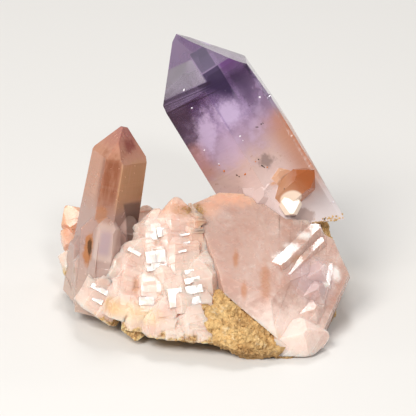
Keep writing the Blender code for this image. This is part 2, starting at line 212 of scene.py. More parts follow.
# Pale specks on the violet point: painted glints
PAINTED_GLINT_SPECKS = (
    (Vector((9.4, 16.6, 33.6)), 0.5, 0.32),
    (Vector((-2.3, 15.3, 32.1)), 0.45, 0.3),
    (Vector((6.0, 11.8, 28.3)), 0.4, 0.3),
    (Vector((6.5, 11.6, 27.6)), 0.25, 0.2),
    (Vector((22.2, 11.3, 16.2)), 0.4, 0.3),
    (Vector((-3.6, 17.9, 34.4)), 0.55, 0.3),
    (Vector((-0.6, 13.6, 24.6)), 0.4, 0.25),
    (Vector((1.9, 12.2, 22.6)), 0.35, 0.25),
)

# Crumbs of rock: node they sit on, middle and reach of the patch, and how many
CRUSTS = (
    ("amethyst_point", Vector((19.4, 8.8, 13.6)), (1.6, 1.2, 0.35), 50),
    ("amethyst_point", Vector((22.0, 9.8, 13.6)), (1.8, 1.2, 0.35), 60),
    ("block_crystals", Vector((-1.0, 4.8, 17.4)), (1.1, 1.8, 0.9), 60),
    ("fan_crystals", Vector((-3.0, 4.6, 17.6)), (1.2, 1.4, 0.8), 26),
    ("side_crystals", Vector((-24.4, 7.6, 4.9)), (2.0, 2.6, 1.0), 90),
    ("block_crystals", Vector((8.0, -15.5, 1.6)), (3.0, 2.0, 0.7), 130),
)


def tint(red, green, blue):
    """A colour from screen values of 0 to 255, as the linear value that the shaders take."""
    shares = (value / 255.0 for value in (red, green, blue))
    return tuple(share / 12.92 if share <= 0.04045 else ((share + 0.055) / 1.055) ** 2.4 for share in shares)


# Node materials


class Recipe:
    """One Principled material, built up from values that vary with the place on the part in millimetres."""

    def __init__(self, name):
        self.material = bpy.data.materials.new(name)
        self.material.use_nodes = True
        self.nodes = self.material.node_tree.nodes
        self.links = self.material.node_tree.links
        self.shader = self.nodes["Principled BSDF"]
        self.output = self.nodes["Material Output"]
        self.normal = None
        place = self.nodes.new("ShaderNodeTexCoord").outputs["Object"]
        self.place = self.vector("MULTIPLY", place, (1 / MM, 1 / MM, 1 / MM))

    def feed(self, value, socket):
        if isinstance(value, bpy.types.NodeSocket):
            self.links.new(value, socket)
        elif socket.type == "RGBA":
            socket.default_value = (*value[:3], 1.0)
        else:
            socket.default_value = value

    def set(self, name, value):
        self.feed(value, self.shader.inputs[name])

    def number(self, operation, first, second=0.0, third=0.0, clamp=False):
        node = self.nodes.new("ShaderNodeMath")
        node.operation = operation
        node.use_clamp = clamp
        for value, socket in zip((first, second, third), node.inputs):
            self.feed(value, socket)
        return node.outputs[0]

    def vector(self, operation, first, second=(0.0, 0.0, 0.0)):
        node = self.nodes.new("ShaderNodeVectorMath")
        node.operation = operation
        self.feed(first, node.inputs[0])
        self.feed(second, node.inputs[1])
        return node.outputs["Value" if operation in ("DOT_PRODUCT", "LENGTH") else "Vector"]

    def along(self, start, direction):
        """Distance from a start in a direction."""
        return self.vector("DOT_PRODUCT", self.vector("SUBTRACT", self.place, tuple(start)), tuple(direction))

    def stretched(self, direction, by):
        """The place drawn out along a direction, for grain that runs that way."""
        reach = self.vector("DOT_PRODUCT", self.place, tuple(direction))
        share = self.number("MULTIPLY", reach, 1.0 / by - 1.0)
        node = self.nodes.new("ShaderNodeVectorMath")
        node.operation = "SCALE"
        node.inputs[0].default_value = tuple(direction)
        self.links.new(share, node.inputs["Scale"])
        return self.vector("ADD", self.place, node.outputs["Vector"])

    def cloud(self, scale, detail=3.0, roughness=0.55, place=None, distortion=0.0):
        """Soft noise from 0 to 1, with that many features a millimetre."""
        node = self.nodes.new("ShaderNodeTexNoise")
        self.links.new(place or self.place, node.inputs["Vector"])
        node.inputs["Scale"].default_value = scale
        node.inputs["Detail"].default_value = detail
        node.inputs["Roughness"].default_value = roughness
        node.inputs["Distortion"].default_value = distortion
        return node.outputs["Fac"]

    def cells(self, scale, feature="F1", place=None):
        node = self.nodes.new("ShaderNodeTexVoronoi")
        node.feature = feature
        self.links.new(place or self.place, node.inputs["Vector"])
        node.inputs["Scale"].default_value = scale
        return node.outputs["Distance"]

    def layers(self, distance, scale, detail):
        """Noise from 0 to 1 that only varies with a distance."""
        node = self.nodes.new("ShaderNodeTexNoise")
        node.noise_dimensions = "1D"
        self.links.new(distance, node.inputs["W"])
        node.inputs["Scale"].default_value = scale
        node.inputs["Detail"].default_value = detail
        return node.outputs["Fac"]

    def fade(self, value, start, end, low=0.0, high=1.0):
        """Low up to the start, high from the end, and smooth between them. It also falls, where the end comes first."""
        node = self.nodes.new("ShaderNodeMapRange")
        node.interpolation_type = "SMOOTHSTEP"
        if start > end:
            start, end, low, high = end, start, high, low
        self.feed(value, node.inputs["Value"])
        node.inputs["From Min"].default_value = start
        node.inputs["From Max"].default_value = end
        node.inputs["To Min"].default_value = low
        node.inputs["To Max"].default_value = high
        return node.outputs["Result"]

    def between(self, value, start, end, soft):
        rising = self.fade(value, start - soft, start + soft)
        falling = self.fade(value, end + soft, end - soft)
        return self.number("MULTIPLY", rising, falling)

    def ramp(self, value, length, stops):
        """A colour along a distance. The stops are distances, not past the length, with their colours."""
        node = self.nodes.new("ShaderNodeValToRGB")
        self.links.new(self.number("DIVIDE", value, length), node.inputs["Fac"])
        elements = node.color_ramp.elements
        while len(elements) < len(stops):
            elements.new(1.0)
        for element, (distance, colour) in zip(elements, stops):
            element.position = distance / length
            element.color = (*colour, 1.0)
        return node.outputs["Color"]

    def mix(self, share, first, second):
        node = self.nodes.new("ShaderNodeMix")
        node.data_type = "RGBA"
        self.feed(share, node.inputs["Factor"])
        self.feed(first, node.inputs["A"])
        self.feed(second, node.inputs["B"])
        return node.outputs["Result"]

    def level(self, share, first, second):
        """A number between two."""
        node = self.nodes.new("ShaderNodeMix")
        node.data_type = "FLOAT"
        self.feed(share, node.inputs["Factor"])
        self.feed(first, node.inputs["A"])
        self.feed(second, node.inputs["B"])
        return node.outputs["Result"]

    def spot(self, centre, reach, frayed=0.5, grain=0.6, soft=0.25):
        """A patch round a place, with an uneven edge. Reach is its half size along X, Y and Z."""
        offset = self.vector("SUBTRACT", self.place, centre)
        offset = self.vector("DIVIDE", offset, reach)
        distance = self.vector("LENGTH", offset)
        uneven = self.number("MULTIPLY", self.number("SUBTRACT", self.cloud(grain, 5.0, 0.65), 0.5), frayed * 2)
        distance = self.number("ADD", distance, uneven)
        return self.fade(distance, 1.0 + soft, 1.0 - soft)

    def rod(self, start, end, radius):
        """The space round a line, for one small crystal of several in a part."""
        axis = (end - start).normalized()
        offset = self.vector("SUBTRACT", self.place, tuple(start))
        reach = self.number("MAXIMUM", self.vector("DOT_PRODUCT", offset, tuple(axis)), 0.0)
        node = self.nodes.new("ShaderNodeVectorMath")
        node.operation = "SCALE"
        node.inputs[0].default_value = tuple(axis)
        self.links.new(self.number("MINIMUM", reach, (end - start).length), node.inputs["Scale"])
        distance = self.vector("LENGTH", self.vector("SUBTRACT", offset, node.outputs["Vector"]))
        return self.fade(distance, radius + 0.4, radius)

    def either(self, *shares):
        made = shares[0]
        for share in shares[1:]:
            made = self.number("MAXIMUM", made, share)
        return made

    def relief(self, height, depth, strength=1.0):
        """Raises the surface by a height from 0 to 1 times a depth in millimetres, on top of the relief before it."""
        node = self.nodes.new("ShaderNodeBump")
        node.inputs["Strength"].default_value = strength
        node.inputs["Distance"].default_value = depth * MM
        self.links.new(height, node.inputs["Height"])
        if self.normal:
            self.links.new(self.normal, node.inputs["Normal"])
        self.normal = node.outputs["Normal"]

    def absorb(self, colour, density):
        node = self.nodes.new("ShaderNodeVolumeAbsorption")
        node.inputs["Color"].default_value = (*colour, 1.0)
        node.inputs["Density"].default_value = density
        self.links.new(node.outputs["Volume"], self.output.inputs["Volume"])

    def finish(self):
        if self.normal:
            self.links.new(self.normal, self.shader.inputs["Normal"])
        return self.material


def violet_quartz(looks):
    """Clear lilac tip, a dark violet band under the pyramid, lavender clouds, and a peach to frosted foot."""
    recipe = Recipe("violet_quartz")
    below_tip = recipe.along(VIOLET_TIP, -VIOLET_AXIS)
    across = recipe.along(VIOLET_TIP, VIOLET_ACROSS)
    in_front = recipe.fade(recipe.along(VIOLET_TIP, VIOLET_FORWARD), -3.0, 2.0, 0.35, 1.0)
    drift = recipe.number("MULTIPLY", recipe.number("SUBTRACT", recipe.cloud(0.16, 4.0), 0.5), 6.0)
    zone = recipe.number("ADD", below_tip, drift)
    fine_drift = recipe.number("MULTIPLY", recipe.number("SUBTRACT", recipe.cloud(0.7, 4.0), 0.5), 2.4)

    colour = recipe.ramp(
        zone,
        48.0,
        (
            (0.0, looks.tip_colour),
            (9.0, looks.tip_colour),
            (12.0, tint(112, 84, 128)),
            (14.5, tint(138, 110, 154)),
            (18.0, tint(190, 162, 200)),
            (22.0, tint(198, 166, 184)),
            (26.0, tint(222, 188, 178)),
            (30.0, tint(228, 202, 196)),
            (42.0, tint(232, 220, 220)),
        ),
    )

    # Clear grey low on the pyramid's left
    left_ring = recipe.number("SUBTRACT", below_tip, recipe.number("MULTIPLY", across, 0.11))
    grey = recipe.number("MULTIPLY", recipe.fade(across, -0.3, -0.8), recipe.between(left_ring, 5.9, 10.3, 0.25))
    grey = recipe.number("MULTIPLY", grey, in_front)
    colour = recipe.mix(recipe.number("MULTIPLY", grey, 0.7), colour, tint(208, 206, 208))

    # Dark violet right under the pyramid, with a brighter violet wedge to its right
    step = recipe.number("ADD", below_tip, fine_drift)
    dark = recipe.between(across, -2.2, 2.7, 0.12)
    dark = recipe.number("MULTIPLY", dark, recipe.fade(below_tip, VIOLET_RING, VIOLET_RING + 0.3))
    dark = recipe.number("MULTIPLY", dark, recipe.fade(recipe.number("SUBTRACT", step, across), 15.4, 11.6))
    dark = recipe.number("MULTIPLY", dark, recipe.number("MULTIPLY", in_front, recipe.number("SUBTRACT", 1.0, grey)))
    wedge = recipe.between(across, 2.7, 6.4, 0.5)
    wedge = recipe.number("MULTIPLY", wedge, recipe.fade(below_tip, VIOLET_RING, VIOLET_RING + 0.3))
    wedge = recipe.number("MULTIPLY", wedge, recipe.fade(step, 13.4, 9.4))
    wedge = recipe.number("MULTIPLY", wedge, in_front)
    colour = recipe.mix(recipe.number("MULTIPLY", wedge, 0.85), colour, looks.wedge_colour)
    colour = recipe.mix(recipe.number("MULTIPLY", dark, 0.93), colour, looks.band_colour)

    # A painted dark window in the pyramid over it: painted shade standing for the dark surroundings seen through the
    # clear tip. Clear grey lies to the left
    window = recipe.between(across, -0.4, 2.5, 0.12)
    window = recipe.number("MULTIPLY", window, recipe.between(below_tip, 4.9, VIOLET_RING, 0.12))
    window = recipe.number("MULTIPLY", window, in_front)
    colour = recipe.mix(recipe.number("MULTIPLY", window, 0.85), colour, tint(96, 90, 110))
    # A pale lilac streak along the pyramid's upper edge: a painted highlight
    streak = recipe.between(recipe.number("SUBTRACT", across, recipe.number("MULTIPLY", below_tip, 0.62)), 0.0, 0.55, 0.2)
    streak = recipe.number("MULTIPLY", streak, recipe.between(below_tip, 1.2, 5.6, 0.3))
    colour = recipe.mix(recipe.number("MULTIPLY", streak, 0.8), colour, tint(226, 198, 252))
    # Darker violet beside the streak: painted shade
    shade = recipe.between(recipe.number("SUBTRACT", across, recipe.number("MULTIPLY", below_tip, 0.3)), -1.2, 0.9, 0.3)
    shade = recipe.number("MULTIPLY", shade, recipe.between(below_tip, 1.6, 4.9, 0.4))
    shade = recipe.number("MULTIPLY", shade, recipe.number("SUBTRACT", 1.0, streak))
    colour = recipe.mix(recipe.number("MULTIPLY", shade, 0.45), colour, tint(134, 98, 156))

    # Fine growth lines across the prism, dark where they crowd under the pyramid
    lines = recipe.fade(recipe.layers(left_ring, 3.4, 3.0), 0.48, 0.6)
    lines = recipe.number("MULTIPLY", lines, recipe.between(left_ring, 10.8, 13.0, 0.6))
    lines = recipe.number("MULTIPLY", lines, recipe.fade(across, 1.0, -2.0, 0.35, 1.0))
    rim = recipe.number("MULTIPLY", recipe.between(left_ring, 10.4, 11.0, 0.1), recipe.fade(across, 0.6, -0.4))
    lines = recipe.either(lines, recipe.number("MULTIPLY", rim, in_front))
    colour = recipe.mix(recipe.number("MULTIPLY", lines, 0.8), colour, tint(46, 28, 52))

    # Smoky clear strip down the left, and the milky clouds beside it
    smoky = recipe.fade(across, -4.6, -6.4)
    smoky = recipe.number("MULTIPLY", smoky, recipe.between(zone, 10.5, 19.5, 1.5))
    colour = recipe.mix(recipe.number("MULTIPLY", smoky, 0.75), colour, tint(106, 84, 96))
    veil = recipe.spot((0.2, 13.6, 27.6), (2.0, 3.2, 4.4), frayed=1.0, grain=0.7, soft=0.55)
    puff = recipe.spot((3.9, 13.4, 32.0), (2.8, 3.0, 2.2), frayed=1.0, grain=0.7, soft=0.6)
    lower = recipe.spot((3.8, 12.0, 25.4), (2.8, 3.0, 3.6), frayed=0.9, grain=0.45, soft=0.5)
    wisps = recipe.fade(recipe.cloud(0.3, 6.0, 0.6), 0.46, 0.66)
    wisps = recipe.number("MULTIPLY", wisps, recipe.between(zone, 14.5, 27.0, 2.5))
    clouds = recipe.either(veil, puff, recipe.number("MULTIPLY", lower, 0.6), recipe.number("MULTIPLY", wisps, 0.5))
    colour = recipe.mix(recipe.number("MULTIPLY", clouds, 0.85), colour, looks.cloud_colour)
    # A thin darker line along the edge between two faces: painted shade
    painted_shade_line = recipe.number("MULTIPLY", recipe.between(across, -1.6, -1.3, 0.15), recipe.between(below_tip, 13.4, 20.0, 1.2))
    colour = recipe.mix(recipe.number("MULTIPLY", painted_shade_line, 0.45), colour, tint(132, 104, 156))

    # Glassy worn strip down its right edge, between fine dark lines
    strip = recipe.number("MULTIPLY", recipe.fade(across, 7.0, 7.2), recipe.between(below_tip, 9.0, 22.5, 0.8))
    strip = recipe.number("MULTIPLY", strip, in_front)
    colour = recipe.mix(recipe.number("MULTIPLY", strip, 0.7), colour, tint(166, 154, 174))
    fine = recipe.either(recipe.between(across, 7.0, 7.1, 0.08), recipe.between(across, 7.75, 7.95, 0.08))
    colour = recipe.mix(recipe.number("MULTIPLY", recipe.number("MULTIPLY", strip, fine), 0.7), colour, tint(96, 78, 100))

    # Iron-stained right edge, and rusty specks and smears over the lower half
    ragged = recipe.number("ADD", recipe.along(VIOLET_TIP, VIOLET_FORWARD), fine_drift)
    ragged = recipe.fade(recipe.number("ADD", ragged, drift), -2.0, 4.0, 0.12, 1.0)
    right_rust = recipe.number("MULTIPLY", recipe.fade(across, 2.4, 6.8), recipe.between(zone, 21.5, 36.0, 2.5))
    right_rust = recipe.number("MULTIPLY", right_rust, ragged)
    right_edge = recipe.number("MULTIPLY", recipe.fade(across, 7.0, 7.5), recipe.between(zone, 23.0, 34.0, 1.5))
    right_edge = recipe.number("MULTIPLY", right_edge, ragged)
    left_rust = recipe.number("MULTIPLY", recipe.fade(across, -5.8, -8.2), recipe.between(zone, 18.0, 25.0, 1.5))
    rust = recipe.either(right_rust, recipe.number("MULTIPLY", left_rust, 0.7))
    colour = recipe.mix(recipe.number("MULTIPLY", rust, 0.8), colour, tint(192, 128, 96))
    smears = recipe.fade(recipe.cloud(0.8, 6.0, 0.7, distortion=0.7), 0.6, 0.7)
    smears = recipe.number("MULTIPLY", smears, recipe.between(zone, 22.5, 33.0, 2.0))
    colour = recipe.mix(recipe.number("MULTIPLY", right_edge, 0.6), colour, tint(206, 124, 80))
    smoky_patch = recipe.spot((10.5, 11.2, 24.0), (1.4, 1.4, 1.0), frayed=1.3, grain=0.9, soft=0.5)
    colour = recipe.mix(recipe.number("MULTIPLY", smoky_patch, 0.65), colour, tint(126, 106, 98))
    foot_stain = recipe.spot((16.7, 8.4, 14.8), (2.2, 2.0, 1.3), frayed=0.8, grain=0.9)
    smears = recipe.either(smears, recipe.number("MULTIPLY", foot_stain, 0.8))
    colour = recipe.mix(recipe.number("MULTIPLY", smears, 0.6), colour, tint(150, 104, 78))

    # The small crystals on the foot: the orange and pale ones in their own colours, and the bright one painted
    # near-white as a painted highlight
    standing = recipe.fade(recipe.along(VIOLET_FRONT, VIOLET_FRONT_RIGHT), 0.06, 0.2)
    orange = recipe.number("MULTIPLY", recipe.rod(*ORANGE_CRYSTAL), standing)
    foot, tip, _ = ORANGE_CRYSTAL
    deeper = recipe.number("ADD", recipe.along(foot, (tip - foot).normalized()), recipe.cloud(0.5))
    deeper = recipe.fade(deeper, 6.5, 11.5)
    colour = recipe.mix(orange, colour, recipe.mix(deeper, tint(224, 164, 124), looks.orange_colour))
    pale = recipe.number("MULTIPLY", recipe.rod(*PALE_CRYSTAL), recipe.number("SUBTRACT", 1.0, orange))
    pale = recipe.number("MULTIPLY", pale, standing)
    colour = recipe.mix(recipe.number("MULTIPLY", pale, 0.85), colour, tint(226, 172, 134))
    # Near-white on the bright crystal: a painted highlight
    bright = recipe.rod(*BRIGHT_CRYSTAL)
    colour = recipe.mix(bright, colour, tint(246, 226, 206))
    small = recipe.either(orange, bright)

    clear = recipe.ramp(
        zone,
        48.0,
        (
            (0.0, (0.62, 0.62, 0.62)),
            (8.0, (0.66, 0.66, 0.66)),
            (12.0, (0.8, 0.8, 0.8)),
            (18.0, (0.66, 0.66, 0.66)),
            (24.0, (0.34, 0.34, 0.34)),
            (30.0, (0.16, 0.16, 0.16)),
            (38.0, (0.1, 0.1, 0.1)),
        ),
    )
    clear = recipe.level(clouds, clear, 0.2)
    clear = recipe.level(dark, clear, 0.12)
    clear = recipe.level(recipe.either(strip, streak), clear, 0.3)
    clear = recipe.level(recipe.either(wedge, window), clear, 0.4)
    clear = recipe.level(recipe.either(smears, rust, right_edge), clear, 0.15)
    clear = recipe.level(small, clear, 0.42)
    clear = recipe.level(bright, clear, 0.1)
    recipe.set("Base Color", colour)
    recipe.set("Transmission Weight", clear)
    haze = recipe.fade(recipe.cloud(0.6, 4.0), 0.35, 0.75, 0.02, 0.1)
    frosted = recipe.number("MULTIPLY", recipe.fade(zone, 23.0, 38.0), recipe.number("SUBTRACT", 1.0, small))
    recipe.set("Roughness", recipe.level(frosted, haze, 0.4))
    recipe.set("IOR", QUARTZ_IOR)

    striation = recipe.layers(below_tip, 1.4, 4.0)
    prism = recipe.fade(below_tip, 8.5, 10.5, 0.1, 1.0)
    recipe.relief(recipe.number("MULTIPLY", striation, prism), 0.05)
    recipe.relief(recipe.cloud(2.2, 5.0, 0.65), 0.02)
    recipe.absorb(looks.absorption_colour, looks.absorption)
    return recipe.finish()


def peach_quartz(looks):
    """Peach faces round an orange-brown heart, a pink tip, and milky white from the middle down."""
    recipe = Recipe("peach_quartz")
    below_tip = recipe.along(PEACH_TIP, -PEACH_AXIS)
    across = recipe.along(PEACH_TIP, PEACH_ACROSS)
    drift = recipe.number("MULTIPLY", recipe.number("SUBTRACT", recipe.cloud(0.3, 4.0), 0.5), 4.0)
    zone = recipe.number("ADD", below_tip, drift)

    colour = recipe.ramp(
        zone,
        36.0,
        (
            (0.0, tint(184, 118, 120)),
            (2.0, tint(200, 138, 122)),
            (4.5, looks.peach_colour),
            (11.5, tint(208, 156, 132)),
            (15.0, tint(188, 154, 142)),
            (20.0, tint(182, 152, 144)),
            (30.0, tint(204, 178, 164)),
        ),
    )
    upper = recipe.fade(zone, 15.0, 11.0)
    heart = recipe.number("MULTIPLY", recipe.between(across, -2.5, 0.9, 0.5), recipe.fade(zone, 3.6, 5.4))
    heart = recipe.number("MULTIPLY", heart, upper)
    colour = recipe.mix(recipe.number("MULTIPLY", heart, 0.9), colour, looks.heart_colour)
    right = recipe.number("MULTIPLY", recipe.fade(across, 0.7, 1.2), recipe.fade(zone, 4.6, 6.0))
    right = recipe.number("MULTIPLY", right, upper)
    colour = recipe.mix(recipe.number("MULTIPLY", right, 0.8), colour, tint(206, 158, 116))
    wedge = recipe.spot((-12.8, 8.5, 27.9), (1.2, 2.0, 1.1), frayed=0.8, grain=0.9, soft=0.5)
    colour = recipe.mix(recipe.number("MULTIPLY", wedge, 0.75), colour, tint(146, 70, 62))

    grain = recipe.cloud(1.5, 4.0, 0.6, recipe.stretched(PEACH_AXIS, 8.0))
    streaks = recipe.number("MULTIPLY", recipe.fade(grain, 0.4, 0.75), upper)
    colour = recipe.mix(recipe.number("MULTIPLY", streaks, 0.4), colour, tint(226, 176, 148))
    inclusion = recipe.spot((-19.6, -0.4, 12.3), (1.1, 1.8, 3.0), frayed=0.7, grain=0.8)
    middle_of_it = recipe.spot((-19.5, -0.5, 12.8), (0.5, 1.2, 1.5), frayed=0.8, grain=1.2)
    trail = recipe.spot((-17.6, 2.7, 17.6), (1.0, 1.6, 1.8), frayed=0.9, grain=0.9)
    stains = recipe.either(inclusion, recipe.number("MULTIPLY", trail, 0.7))
    colour = recipe.mix(recipe.number("MULTIPLY", stains, 0.85), colour, looks.rust_colour)
    colour = recipe.mix(recipe.number("MULTIPLY", middle_of_it, 0.85), colour, tint(74, 46, 24))

    # A smoky window that narrows downwards at the right, and the pale outline of a crystal within
    slant = recipe.number("SUBTRACT", across, recipe.number("MULTIPLY", below_tip, 0.32))
    smoky = recipe.number("MULTIPLY", recipe.fade(slant, -2.0, -1.6), recipe.between(below_tip, 12.6, 19.4, 0.4))
    colour = recipe.mix(recipe.number("MULTIPLY", smoky, 0.75), colour, tint(136, 110, 100))
    aside = recipe.along(PEACH_INNER, PEACH_ACROSS)
    above = recipe.along(PEACH_INNER, PEACH_AXIS)
    near = recipe.fade(recipe.along(PEACH_INNER, -LOOKING), -2.0, -1.0)
    inner = recipe.number("MULTIPLY", recipe.between(aside, -1.7, 1.8, 0.3), recipe.between(above, -3.2, 3.0, 0.4))
    core = recipe.number("MULTIPLY", recipe.between(aside, -0.9, 1.0, 0.5), recipe.between(above, -2.2, 1.9, 0.7))
    inner = recipe.number("MULTIPLY", inner, near)
    core = recipe.number("MULTIPLY", core, near)
    colour = recipe.mix(recipe.number("MULTIPLY", inner, 0.45), colour, tint(232, 208, 196))
    colour = recipe.mix(recipe.number("MULTIPLY", core, 0.6), colour, tint(176, 152, 164))
    clear = recipe.level(recipe.fade(zone, 11.0, 17.0), 0.3, 0.12)
    clear = recipe.level(stains, clear, 0.0)
    clear = recipe.level(smoky, clear, 0.5)
    recipe.set("Base Color", colour)
    recipe.set("Transmission Weight", clear)
    recipe.set("Roughness", recipe.fade(recipe.cloud(0.8, 4.0), 0.3, 0.8, 0.14, 0.3))
    recipe.set("IOR", QUARTZ_IOR)
    recipe.set("Subsurface Weight", 0.3)
    recipe.set("Subsurface Radius", (1.0, 0.6, 0.45))
    recipe.set("Subsurface Scale", 1.5 * MM)
    recipe.relief(recipe.layers(below_tip, 1.4, 3.0), 0.04)
    return recipe.finish()


def milky_quartz(name, looks, pale, tone, marks, crust=None):
    """Pale pink quartz, waxy inside and glassy on its faces, with faint veins. Marks are stains, pale places and
    painted highlights.

    Ochre crust covers it up to the height of the crust.
    """
    recipe = Recipe(name)
    broad = recipe.cloud(0.13, 4.0, 0.55)
    colour = recipe.mix(recipe.fade(broad, 0.38, 0.62), pale, tone)
    veins = recipe.fade(recipe.cloud(0.3, 4.0, 0.55, distortion=0.6), 0.48, 0.72)
    brighter = recipe.mix(0.5, colour, tint(252, 242, 236))
    colour = recipe.mix(recipe.number("MULTIPLY", veins, 0.5), colour, brighter)
    streaks = recipe.cloud(0.9, 4.0, 0.6, recipe.stretched(UP_THE_FAN.normalized(), 6.0))
    colour = recipe.mix(recipe.fade(streaks, 0.5, 0.72, 0.0, 0.18), colour, tint(206, 162, 144))
    height = recipe.along(Vector(), UP)
    rust = recipe.fade(recipe.cloud(0.55, 6.0, 0.7, distortion=0.5), 0.56, 0.68)
    rust = recipe.number("MULTIPLY", rust, recipe.fade(height, 5.0, 1.0, 0.0, 0.7))
    colour = recipe.mix(rust, colour, looks.rust_colour)
    # Marks, stains and painted highlights alike, are mixed in and count as opaque
    for centre, reach, share, shade in marks:
        mark = recipe.spot(centre, reach, frayed=0.8, grain=0.8, soft=0.6)
        mark = recipe.number("MULTIPLY", mark, share)
        colour = recipe.mix(mark, colour, tint(*shade))
        rust = recipe.either(rust, mark)
    rough = recipe.fade(recipe.cloud(0.9, 4.0), 0.3, 0.7, 0.16, 0.32)
    if crust:
        uneven = recipe.number("MULTIPLY", recipe.number("SUBTRACT", recipe.cloud(0.45, 5.0, 0.65), 0.5), 5.0)
        crusted = recipe.fade(recipe.number("ADD", height, uneven), crust + 0.5, crust - 0.5)
        grains = recipe.mix(recipe.fade(recipe.cloud(1.7, 6.0, 0.7), 0.4, 0.62), tint(150, 112, 68), tint(232, 198, 142))
        colour = recipe.mix(crusted, colour, grains)
        rough = recipe.level(crusted, rough, 0.9)
        rust = recipe.either(rust, crusted)
    recipe.set("Base Color", colour)
    clear = recipe.fade(broad, 0.35, 0.65, 0.12, 0.04)
    recipe.set("Transmission Weight", recipe.level(rust, clear, 0.0))
    recipe.set("Roughness", rough)
    recipe.set("IOR", QUARTZ_IOR)
    recipe.set("Subsurface Weight", 0.8)
    recipe.set("Subsurface Radius", (1.0, 0.7, 0.6))
    recipe.set("Subsurface Scale", 2.2 * MM)
    recipe.relief(recipe.cloud(1.2, 4.0, 0.6), 0.015)
    return recipe.finish()


def ochre_rock(name, looks):
    """Crumbly yellow-brown rock with darker pits, pale grains and rusty patches. The pits are painted shade in the low
    places of its relief, and it is darker low down with painted shade near the table.
    """
    recipe = Recipe(name)
    broad = recipe.cloud(0.28, 6.0, 0.65)
    fine = recipe.cloud(2.0, 6.0, 0.72)
    crumbs = recipe.cells(1.5)
    colour = recipe.mix(recipe.fade(broad, 0.4, 0.62), looks.rock_colour, tint(192, 148, 92))
    colour = recipe.mix(recipe.fade(recipe.cloud(0.5, 5.0, 0.7), 0.55, 0.68), colour, tint(236, 212, 172))
    colour = recipe.mix(recipe.fade(fine, 0.54, 0.7, 0.0, 0.8), colour, tint(240, 206, 146))
    # Darker where the relief is low: painted shade in the pits
    colour = recipe.mix(recipe.fade(fine, 0.44, 0.3, 0.0, 0.8), colour, tint(104, 72, 42))
    colour = recipe.mix(recipe.fade(crumbs, 0.5, 0.9, 0.0, 0.35), colour, tint(120, 84, 48))
    # Darker near the table: painted shade under the rock
    under = recipe.fade(recipe.along(Vector(), UP), 3.0, 0.2, 0.0, 0.65)
    colour = recipe.mix(under, colour, tint(146, 106, 64))
    recipe.set("Base Color", colour)
    recipe.set("Roughness", recipe.fade(fine, 0.3, 0.7, 0.95, 0.6))
    recipe.relief(fine, 0.3)
    recipe.relief(crumbs, 0.25)
    return recipe.finish()


def speck(name, colour):
    """A fleck, a little lighter in places: iron oxide, save the pale ones, which are painted glints."""
    recipe = Recipe(name)
    lighter = tuple(min(1.0, value * 1.8) for value in colour)
    recipe.set("Base Color", recipe.mix(recipe.fade(recipe.cloud(6.0, 3.0), 0.4, 0.7), colour, lighter))
    recipe.set("Roughness", recipe.fade(recipe.cloud(4.0), 0.3, 0.7, 0.35, 0.6))
    return recipe.finish()


# Shapes


def as_bmesh(node):
    mesh = bmesh.new()
    mesh.from_mesh(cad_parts[node].data)
    bmesh.ops.remove_doubles(mesh, verts=mesh.verts[:], dist=0.0005 * MM)
    bmesh.ops.scale(mesh, vec=(1 / MM, 1 / MM, 1 / MM), verts=mesh.verts[:])
    return mesh


def whole_faces(mesh, angle=0.6):
    """Joins the triangles of each flat face."""
    bmesh.ops.dissolve_limit(
        mesh,
        angle_limit=math.radians(angle),
        verts=mesh.verts[:],
        edges=mesh.edges[:],
    )


def soften_edges(mesh, width):
    """A narrow bevel on every sharp edge."""
    sharp = [edge for edge in mesh.edges if edge.is_manifold and edge.calc_face_angle(0.0) > math.radians(8)]
    bmesh.ops.bevel(
        mesh,
        geom=sharp,
        offset=width,
        offset_type="OFFSET",
        segments=2,
        profile=0.5,
        affect="EDGES",
        clamp_overlap=True,
    )


def middle(face):
    return face.calc_center_median()


def cut_across(mesh, start, direction, places, where=None):
    """Cuts the faces along planes at those distances from the start."""
    direction = direction.normalized()
    for place in places:
        faces = [face for face in mesh.faces if where is None or where(face)]
        edges = {edge for face in faces for edge in face.edges}
        corners = {vertex for face in faces for vertex in face.verts}
        bmesh.ops.bisect_plane(
            mesh,
            geom=list(corners) + list(edges) + faces,
            plane_co=start + direction * place,
            plane_no=direction,
            dist=1e-4,
        )


def uneven_steps(dice, start, end, low, high):
    """Places from start to end, with gaps between low and high."""
    made = []
    place = start
    while place < end:
        made.append(place)
        place += dice.uniform(low, high)
    return made


def tip_to(face, normal, facing, most):
    """Tilts a face about its middle to another facing, as far as its corners may move."""
    centre = middle(face)
    moves = [-facing.dot(vertex.co - centre) / facing.dot(normal) for vertex in face.verts]
    share = min(1.0, most / max(max(abs(move) for move in moves), 1e-6))
    for vertex, move in zip(face.verts, moves):
        vertex.co += normal * move * share


def growth_tiles(mesh, dice, depth, tilt, groove, where=None):
    """Makes every face a growth step: a little raised or sunk and tipped its own way, with a fine groove round it."""
    levels = [depth * share for share in (-1.0, -0.6, -0.25, 0.15, 0.45)]
    chosen = {level: [] for level in levels}
    for face in mesh.faces:
        narrow = face.calc_area() / max(face.calc_perimeter(), 1e-6)
        if face.calc_area() > 0.25 and narrow > groove * 1.6 and (where is None or where(face)):
            chosen[dice.choice(levels)].append(face)
    for level, faces in chosen.items():
        if faces:
            bmesh.ops.inset_individual(
                mesh,
                faces=faces,
                thickness=groove,
                depth=level,
                use_even_offset=True,
            )
    for faces in chosen.values():
        for face in faces:
            normal = face.normal.copy()
            lean = Vector((dice.gauss(0, 1), dice.gauss(0, 1), dice.gauss(0, 1))) * math.tan(tilt)
            tip_to(face, normal, (normal + lean).normalized(), depth * 2.0)


